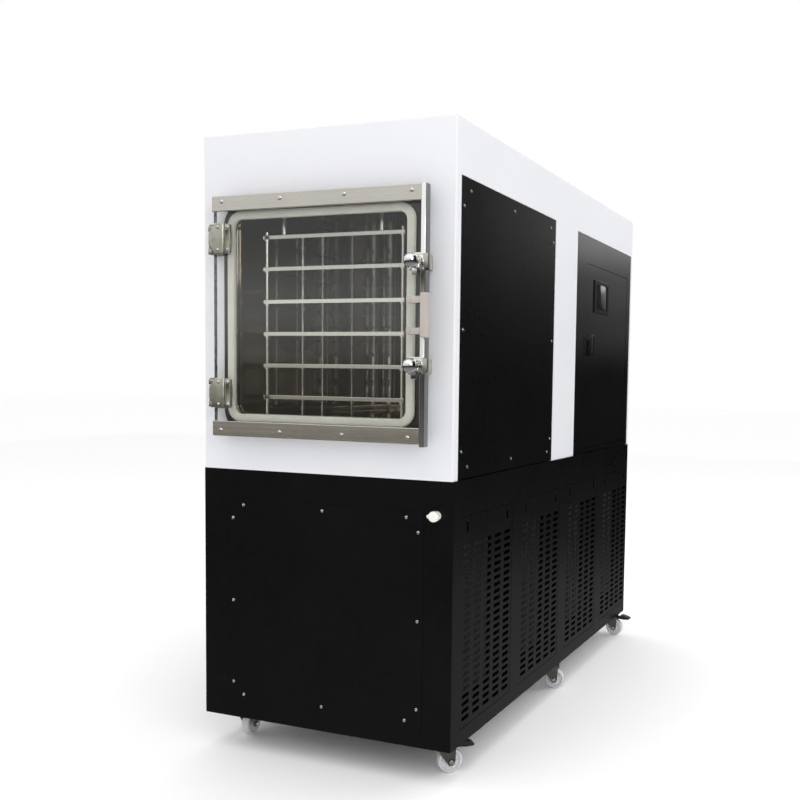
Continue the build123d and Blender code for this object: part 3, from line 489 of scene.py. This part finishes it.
def screw(bm, at, axis, r, h, kind, turn=0.0, seg=40):
    """Screw head standing on a face at a point, pointing along axis. kind is pan (cross recess) or button (hex socket)."""
    mx = along(axis, at) @ Matrix.Rotation(turn, 4, "Z")
    if kind == "pan":
        dome = [(0.0, r), (0.30 * h, r), (0.58 * h, r * 0.95), (0.82 * h, r * 0.82), (0.95 * h, r * 0.64)]
        s, depth, f = r * 0.56, h * 0.72, cross
        rec = [(0.985 * h, s), (0.985 * h - depth * 0.15, s * 0.93), (0.985 * h - depth, s * 0.55)]
    else:
        dome = [(0.0, r), (0.16 * h, r), (0.45 * h, r * 0.93), (0.72 * h, r * 0.80), (0.90 * h, r * 0.66), (h, r * 0.56)]
        s, depth, f = r * 0.40, h * 0.75, hexagon
        rec = [(h, s), (h - depth * 0.1, s * 0.95), (h - depth, s * 0.93)]
    n = len(dome)
    prof = [(0.0, 0.0)] + dome + rec + [(rec[-1][0] - 0.0001, 0.0)]
    lathe(bm, prof, mx, seg, shape=lambda i, t, rr: rr if i <= n else rr * f(t))


# ------------------------------------------------------------------ screws
bm = bmesh.new()
for i, (lo, hi) in enumerate(islands("panel_screws")):
    c, e = (lo + hi) / 2, hi - lo
    k = 0 if e.x < e.y else 1
    ax = Vector((0, 0, 0))
    ax[k] = 1 if c[k] > 0 else -1
    at = c.copy()
    at[k] = hi[k] - e[k] if ax[k] > 0 else lo[k] + e[k]
    screw(bm, at, ax, max(e) / 2, e[k], "pan", turn=(i * 2.399) % 6.283, seg=32)
make("panel_screws_finished", bm, M["screw_steel"], bodies_of["panel_screws"], ("panel_screws",))

bm = bmesh.new()
for i, (lo, hi) in enumerate(islands("door_screws")):
    c, e = (lo + hi) / 2, hi - lo
    screw(bm, Vector((c.x, hi.y, c.z)), (0, -1, 0), e.x / 2, e.y, "button", turn=(i * 1.7) % 6.283, seg=48)
make("door_screws_finished", bm, M["screw_steel"], bodies_of["door_screws"], ("door_screws",))

# ------------------------------------------------------------------ clamp knobs
for nm, jn in (("clamp_knob_upper", "clamp_upper_turn"), ("clamp_knob_lower", "clamp_lower_turn")):
    lo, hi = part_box(nm)
    p = Vector(joints[jn]["pos_m"])
    front = lo.y
    mx = along((0, 1, 0), Vector((p.x, front, p.z)))
    R_ = 0.021
    prof = [(0.0, 0.0)]
    for k in range(1, 15):
        t = math.pi * k / 17
        prof.append((R_ - R_ * math.cos(t), R_ * math.sin(t)))
    prof += [(0.0372, 0.0112), (0.0378, 0.0095), (0.0392, 0.0092), (0.0396, 0.0125), (0.0402, 0.0131), (0.0420, 0.0131), (0.0426, 0.0125), (0.0427, 0.0078), (hi.y - front - 0.0006, 0.0078),
             (hi.y - front, 0.0072), (hi.y - front, 0.0)]
    bm = bmesh.new()
    lathe(bm, prof, mx, 64)
    # cam tongue
    tl = Vector((p.x - 0.008, front + 0.0428, lo.z + 0.0002))
    th = Vector((p.x + 0.008, front + 0.0485, p.z + 0.009))
    block(bm, tl, th, 0.0012, 3)
    make(nm + "_finished", bm, M["chrome_knob"], bodies_of[nm], (nm,))

# brass bushes where the clamp shafts pass the bearing blocks
sb_lo, sb_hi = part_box("door_side_bar")
bm = bmesh.new()
for jn in ("clamp_upper_turn", "clamp_lower_turn"):
    p = Vector(joints[jn]["pos_m"])
    mx = along((0, -1, 0), Vector((p.x, sb_lo.y + 0.0002, p.z)))
    lathe(bm, [(0.0, 0.0084), (0.0, 0.0115), (0.0003, 0.0118), (0.0005, 0.0116), (0.0005, 0.0084)], mx, 48, closed=True)
make("clamp_bushes", bm, M["brass"], "door")

# ------------------------------------------------------------------ rounded copies of small fittings
for n, w in (("hinge_brackets", 0.0012), ("hinge_leaves", 0.0010), ("clamp_keepers", 0.0010), ("door_side_bar", 0.0008),
             ("door_handle", 0.0008), ("caster_plates", 0.0006)):
    ob = softened(n, w, 2)
    if n == "door_side_bar":
        # the bar's outer side faces take the darker steel copy: painted shade
        ob.data.materials.append(M["side_face_steel"])
        xr = max(v.co.x for v in ob.data.vertices)
        for pl in ob.data.polygons:
            if pl.normal.x > 0.8 and pl.center.x > xr - 0.002:
                pl.material_index = 1
for tag in ("fl", "fr", "ml", "mr", "rl", "rr"):
    softened("caster_fork_" + tag, 0.0006, 1)
    if tag[0] != "m":
        softened("brake_pedal_" + tag, 0.0008, 2)


# ------------------------------------------------------------------ caster wheels
def wheel(tag):
    nm = "caster_wheel_" + tag
    j = joints["wheel_spin_" + tag]
    c, ax = Vector(j["pos_m"]), Vector(j["axis"])
    lo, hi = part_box(nm)
    r = (hi.z - lo.z) / 2
    hw = 0.014
    mx = along(ax, c)
    bm = bmesh.new()
    side = [(-hw + 0.0055, 0.0085), (-hw + 0.0045, 0.0275), (-hw + 0.0015, 0.0290), (-hw + 0.0007, 0.0300), (-hw + 0.0008, 0.0338), (-hw + 0.0018, 0.0352), (-hw + 0.0040, 0.0366),
            (-hw + 0.0075, 0.0373), (0.0, r)]
    prof = [(-hw, 0.0051), (-hw, 0.0112), (-hw + 0.0006, 0.0120), (-hw + 0.0030, 0.0124), (-hw + 0.0050, 0.0132)] + side[1:] + \
        [(-a, b) for a, b in reversed(side[1:-1])] + [(hw - 0.0050, 0.0132), (hw - 0.0030, 0.0124), (hw - 0.0006, 0.0120), (hw, 0.0112), (hw, 0.0051)]
    lathe(bm, prof, mx, 72, closed=True)
    for s in (-1, 1):
        for k in range(8):
            rot = Matrix.Rotation(2 * math.pi * k / 8, 4, "Z")
            block(bm, (0.0118, -0.0011, s * (hw - 0.0052) - 0.0015), (0.0282, 0.0011, s * (hw - 0.0052) + 0.0015), 0.0004, 1, mx @ rot)
    make(nm + "_finished", bm, M["wheel_white"], bodies_of[nm], (nm,))
    bm = bmesh.new()
    for s in (-1, 1):
        m2 = mx @ Matrix.Translation((0, 0, s * (hw - 0.0001)))
        lathe(bm, [(-0.0008, 0.0052), (0.0000, 0.0056), (0.0004, 0.0062), (0.0004, 0.0102), (0.0000, 0.0108), (-0.0008, 0.0110)], m2 @ (Matrix.Identity(4) if s > 0 else Matrix.Rotation(math.pi, 4, "X")), 40, closed=True)
    make("caster_bearing_" + tag, bm, M["zinc"], bodies_of[nm])


for tag in ("fl", "fr", "ml", "mr", "rl", "rr"):
    wheel(tag)

# bright domed ends of the casters' axles
for tag in ("fl", "fr", "ml", "mr", "rl", "rr"):
    nm = "caster_fork_" + tag
    c, ax = Vector(joints["wheel_spin_" + tag]["pos_m"]), Vector(joints["wheel_spin_" + tag]["axis"])
    near = [v.co - c for v in frame["nodes"][nm].data.vertices]
    near = [d for d in near if (d - ax * d.dot(ax)).length < 0.0085]
    bm = bmesh.new()
    for s in (-1, 1):
        t = max(s * d.dot(ax) for d in near)
        lathe(bm, [(-0.0004, 0.0), (-0.0004, 0.0066), (0.0007, 0.0068), (0.0017, 0.0062), (0.0025, 0.0044), (0.0028, 0.0)], along(ax * s, c + ax * s * t), 40)
    make("caster_axle_ends_" + tag, bm, M["screw_steel"], bodies_of[nm])

# foam pad inside the rear louvres
lo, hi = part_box("base_rear_panel")
bm = bmesh.new()
block(bm, ((lo.x + hi.x) / 2 - 0.300, hi.y - 0.010, lo.z + 0.235), ((lo.x + hi.x) / 2 + 0.300, hi.y - 0.004, lo.z + 0.635), 0.001, 1)
make("rear_filter_pad", bm, M["filter_foam"], "root")

# ------------------------------------------------------------------ screen glass and lock details
lo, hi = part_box("touch_screen")
bm = bmesh.new()
block(bm, (hi.x - 0.0013, lo.y + 0.0194, lo.z + 0.0164), (hi.x - 0.0006, hi.y - 0.0194, hi.z - 0.0164), 0.0003, 2)
make("screen_glass", bm, M["screen_glass"], bodies_of["touch_screen"])

lo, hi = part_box("lock_handle")
p = Vector(joints["lock_turn"]["pos_m"])
bm = bmesh.new()
lathe(bm, [(0.0, 0.0), (0.0, 0.0062), (0.0003, 0.0066), (0.0004, 0.0060), (0.0002, 0.0052), (-0.0006, 0.0050), (-0.0006, 0.0)], along((1, 0, 0), Vector((hi.x - 0.0004, p.y, p.z))), 40)
make("lock_cylinder", bm, M["brass"], "lock")


# ------------------------------------------------------------------ braided sleeves on the shelf hoses
def arc_path(pts, r, n=7):
    out = [pts[0]]
    for a, b, c in zip(pts, pts[1:], pts[2:]):
        d1, d2 = (a - b).normalized(), (c - b).normalized()
        half = d1.angle(d2) / 2
        cut = r / math.tan(half)
        p1, p2 = b + d1 * cut, b + d2 * cut
        cen = b + (d1 + d2).normalized() * (r / math.sin(half))
        for k in range(n + 1):
            t = k / n
            q = (p1 - cen).lerp(p2 - cen, t)
            out.append(cen + q.normalized() * r)
    out.append(pts[-1])
    return out


def tube(bm, pts, r, seg=20, step=0.004):
    uvl = bm.loops.layers.uv.verify()
    fine = [pts[0]]
    for a, b in zip(pts, pts[1:]):
        n = max(1, int((b - a).length / step))
        fine += [a.lerp(b, (k + 1) / n) for k in range(n)]
    s, rings = 0.0, []
    for i, p in enumerate(fine):
        a, b = fine[max(0, i - 1)], fine[min(len(fine) - 1, i + 1)]
        d = (b - a).normalized()
        side = Vector((1, 0, 0))
        nrm = d.cross(side).normalized()
        if i:
            s += (p - fine[i - 1]).length
        rings.append((s, [bm.verts.new(p + r * (side * math.cos(2 * math.pi * k / seg) + nrm * math.sin(2 * math.pi * k / seg))) for k in range(seg)]))
    for (s1_, a), (s2_, b) in zip(rings, rings[1:]):
        for k in range(seg):
            k2 = (k + 1) % seg
            f = bm.faces.new((a[k], a[k2], b[k2], b[k]))
            for lp, (u, v) in zip(f.loops, ((s1_, k / seg), (s1_, (k + 1) / seg), (s2_, (k + 1) / seg), (s2_, k / seg))):
                lp[uvl].uv = (u, v)
    for ring in (rings[0][1], rings[-1][1]):
        bm.faces.new(ring)


shelf_z = sorted((lo.z + hi.z) / 2 for lo, hi in islands("shelves"))
bm, bf = bmesh.new(), bmesh.new()
for lo, hi in islands("shelf_hoses"):
    if hi.z - lo.z > 0.2:
        continue
    x = (lo.x + hi.x) / 2
    zlo, zhi = lo.z + 0.006, hi.z - 0.006
    top_start = min(abs(zhi - z) for z in shelf_z) < min(abs(zlo - z) for z in shelf_z)
    za, zb = (zhi, zlo) if top_start else (zlo, zhi)
    ym = lo.y + 0.030
    path = arc_path([Vector((x, lo.y, za)), Vector((x, ym, za)), Vector((x, ym, zb)), Vector((x, hi.y, zb))], 0.011)
    tube(bm, [path[0] + Vector((0, 0.007, 0))] + path[1:-1] + [path[-1] - Vector((0, 0.004, 0))], 0.0066)
    for y0, y1, z in ((lo.y, lo.y + 0.010, za), (hi.y - 0.008, hi.y - 0.0004, zb)):
        lathe(bf, [(0.0, 0.0), (0.0, 0.0082), (0.0006, 0.0088), (y1 - y0 - 0.0006, 0.0088), (y1 - y0, 0.0082), (y1 - y0, 0.0)], along((0, 1, 0), Vector((x, y0, z))), 24,
              shape=lambda i, t, r: r * (0.88 * hexagon(t)))
make("hose_braid", bm, M["braided_steel"], "root", angle=60)
make("hose_ferrules", bf, M["screw_steel"], "root")

# ------------------------------------------------------------------ the clear plate lets lamps through
lo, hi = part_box("door_plate")
bm = bmesh.new()
block(bm, lo, hi, 0.0012, 2)
bm.normal_update()
# edge faces take the dark-tinted edge material: painted shade
for f in bm.faces:
    f.material_index = 0 if abs(f.normal.y) > 0.5 else 1
plate = make("door_plate_finished", bm, [M["acrylic"], M["acrylic_sawn_rim_painted_shade"]], bodies_of["door_plate"], ("door_plate",), 20.0)
plate.visible_shadow = False
nodes["door_plate"].visible_shadow = False

# ------------------------------------------------------------------ floor and light
fl = bmesh.new()
bmesh.ops.create_grid(fl, x_segments=1, y_segments=1, size=40.0)
me = bpy.data.meshes.new("floor")
fl.to_mesh(me)
fl.free()
floor = bpy.data.objects.new("floor", me)
scene.collection.objects.link(floor)
g = G("floor_pale")
v = g.coord()
g.base(g.mix(g.rng(g.noise(v, 3.0, 4, 0.6), 0.3, 0.7, 0, 1), (0.98, 0.98, 0.982), (0.992, 0.992, 0.993)))
g.set(rough=0.9, spec=0.1)
me.materials.append(g.m)


def card(name, bmx, ramp, radial=None, through=False):
    """A card that only glossy reflections see, as the room round a studio table. ramp is (height or radius, grey) steps."""
    me_ = bpy.data.meshes.new(name)
    bmx.to_mesh(me_)
    bmx.free()
    ob = bpy.data.objects.new(name, me_)
    scene.collection.objects.link(ob)
    m = bpy.data.materials.new(name)
    m.use_nodes = True
    t = m.node_tree
    t.nodes.clear()
    o = t.nodes.new("ShaderNodeOutputMaterial")
    e = t.nodes.new("ShaderNodeEmission")
    tc = t.nodes.new("ShaderNodeTexCoord")
    sp = t.nodes.new("ShaderNodeSeparateXYZ")
    mr = t.nodes.new("ShaderNodeMapRange")
    cr = t.nodes.new("ShaderNodeValToRGB")
    a0, a1 = ramp[0][0], ramp[-1][0]
    mr.inputs["From Min"].default_value = a0
    mr.inputs["From Max"].default_value = a1
    t.links.new(tc.outputs["Object"], sp.inputs[0])
    if radial:
        vm = t.nodes.new("ShaderNodeVectorMath")
        vm.operation = "LENGTH"
        t.links.new(tc.outputs["Object"], vm.inputs[0])
        t.links.new(vm.outputs["Value"], mr.inputs["Value"])
    else:
        t.links.new(sp.outputs[2], mr.inputs["Value"])
    cr.color_ramp.interpolation = "EASE"
    while len(cr.color_ramp.elements) < len(ramp):
        cr.color_ramp.elements.new(0.5)
    for el, (p_, c_) in zip(cr.color_ramp.elements, ramp):
        el.position = (p_ - a0) / (a1 - a0)
        el.color = (c_[0], c_[1], c_[2], 1) if isinstance(c_, tuple) else (c_, c_, c_, 1)
    t.links.new(mr.outputs["Result"], cr.inputs["Fac"])
    t.links.new(cr.outputs["Color"], e.inputs["Color"])
    if through:
        # straight through the clear door plate the card is not there: only what the chamber mirrors sees it
        lp = t.nodes.new("ShaderNodeLightPath")
        tr = t.nodes.new("ShaderNodeBsdfTransparent")
        mx = t.nodes.new("ShaderNodeMixShader")
        ad = t.nodes.new("ShaderNodeMath")
        ad.operation = "ADD"
        ad.use_clamp = True
        t.links.new(lp.outputs["Glossy Depth"], ad.inputs[0])
        t.links.new(lp.outputs["Diffuse Depth"], ad.inputs[1])
        t.links.new(ad.outputs[0], mx.inputs[0])
        t.links.new(tr.outputs[0], mx.inputs[1])
        t.links.new(e.outputs[0], mx.inputs[2])
        t.links.new(mx.outputs[0], o.inputs["Surface"])
    else:
        t.links.new(e.outputs[0], o.inputs["Surface"])
    me_.materials.append(m)
    ob.visible_camera = False
    ob.visible_diffuse = False
    ob.visible_transmission = through
    ob.visible_volume_scatter = False
    ob.visible_shadow = False
    return ob


def wall(name, a0, a1, z1, ramp, seg=24, rad=9.0, through=False):
    """Curved card that stands round the part between two azimuths, for its reflections."""
    bw = bmesh.new()
    pts = [(rad * math.cos(math.radians(a0 + (a1 - a0) * k / seg)), rad * math.sin(math.radians(a0 + (a1 - a0) * k / seg))) for k in range(seg + 1)]
    lo_ = [bw.verts.new((x, y, 0.0)) for x, y in pts]
    hi_ = [bw.verts.new((x, y, z1)) for x, y in pts]
    for k in range(seg):
        bw.faces.new((lo_[k], lo_[k + 1], hi_[k + 1], hi_[k]))
    return card(name, bw, ramp, through=through)


b1 = bmesh.new()
bmesh.ops.create_grid(b1, x_segments=1, y_segments=1, size=12.0)
for v1 in b1.verts:
    v1.co.z = 0.0015
card("floor_reflection", b1, [(0.0, 0.30), (1.6, 0.24), (4.0, 0.06), (9.0, 0.03)], radial=True)
wall("room_reflection_front", 175, 285, 5.0, [(0.0, (0.10, 0.09, 0.075)), (0.6, (0.24, 0.22, 0.18)), (1.2, (0.36, 0.34, 0.30)), (1.5, (0.72, 0.70, 0.66)), (1.85, (1.0, 1.0, 0.98)), (2.7, (0.62, 0.62, 0.61)), (3.4, (0.80, 0.80, 0.79)), (5.0, (0.85, 0.85, 0.85))], through=True)
wall("room_reflection_right", -75, -20, 5.0, [(0.0, 0.03), (1.2, 0.09), (1.9, 0.16), (2.8, 0.10), (5.0, 0.30)], through=True)
wall("room_reflection_side", -20, 69, 14.0, [(0.0, 0.010), (2.8, 0.010), (6.0, 0.03), (14.0, 0.08)])
wall("room_reflection_window", 69, 100, 6.0, [(0.0, 0.008), (1.25, 0.012), (1.85, 0.13), (2.4, 0.24), (3.0, 0.95), (6.0, 1.0)])
wall("room_reflection_back", 100, 175, 5.0, [(0.0, 0.04), (1.2, 0.06), (2.4, 0.4), (5.0, 0.6)])

world = bpy.data.worlds.new("studio")
world.use_nodes = True
bg = world.node_tree.nodes["Background"]
bg.inputs["Color"].default_value = (1.0, 1.0, 1.0, 1)
bg.inputs["Strength"].default_value = 1.0
scene.world = world


def area(name, loc, target, size, power, color=(1, 1, 1), glossy=True):
    d = bpy.data.lights.new(name, "AREA")
    d.shape = "RECTANGLE"
    d.size, d.size_y = size
    d.energy = power
    d.color = color
    ob = bpy.data.objects.new(name, d)
    scene.collection.objects.link(ob)
    ob.location = loc
    ob.rotation_euler = (Vector(target) - Vector(loc)).to_track_quat("-Z", "Y").to_euler()
    ob.visible_camera = False
    ob.visible_glossy = glossy
    return ob


area("key_softbox", (4.6, -5.2, 3.2), (0, -0.7, 1.35), (3.4, 2.4), 85, (1.0, 0.995, 1.0))
area("front_softbox", (0.2, -3.8, 5.2), (0, -0.6, 1.3), (3.6, 2.0), 30)
area("side_softbox", (5.0, 3.4, 4.0), (0.3, 0.9, 1.4), (3.0, 2.4), 65, glossy=False)
area("top_softbox", (0.0, 0.0, 5.5), (0, 0, 1.0), (4.0, 4.0), 50, glossy=False)
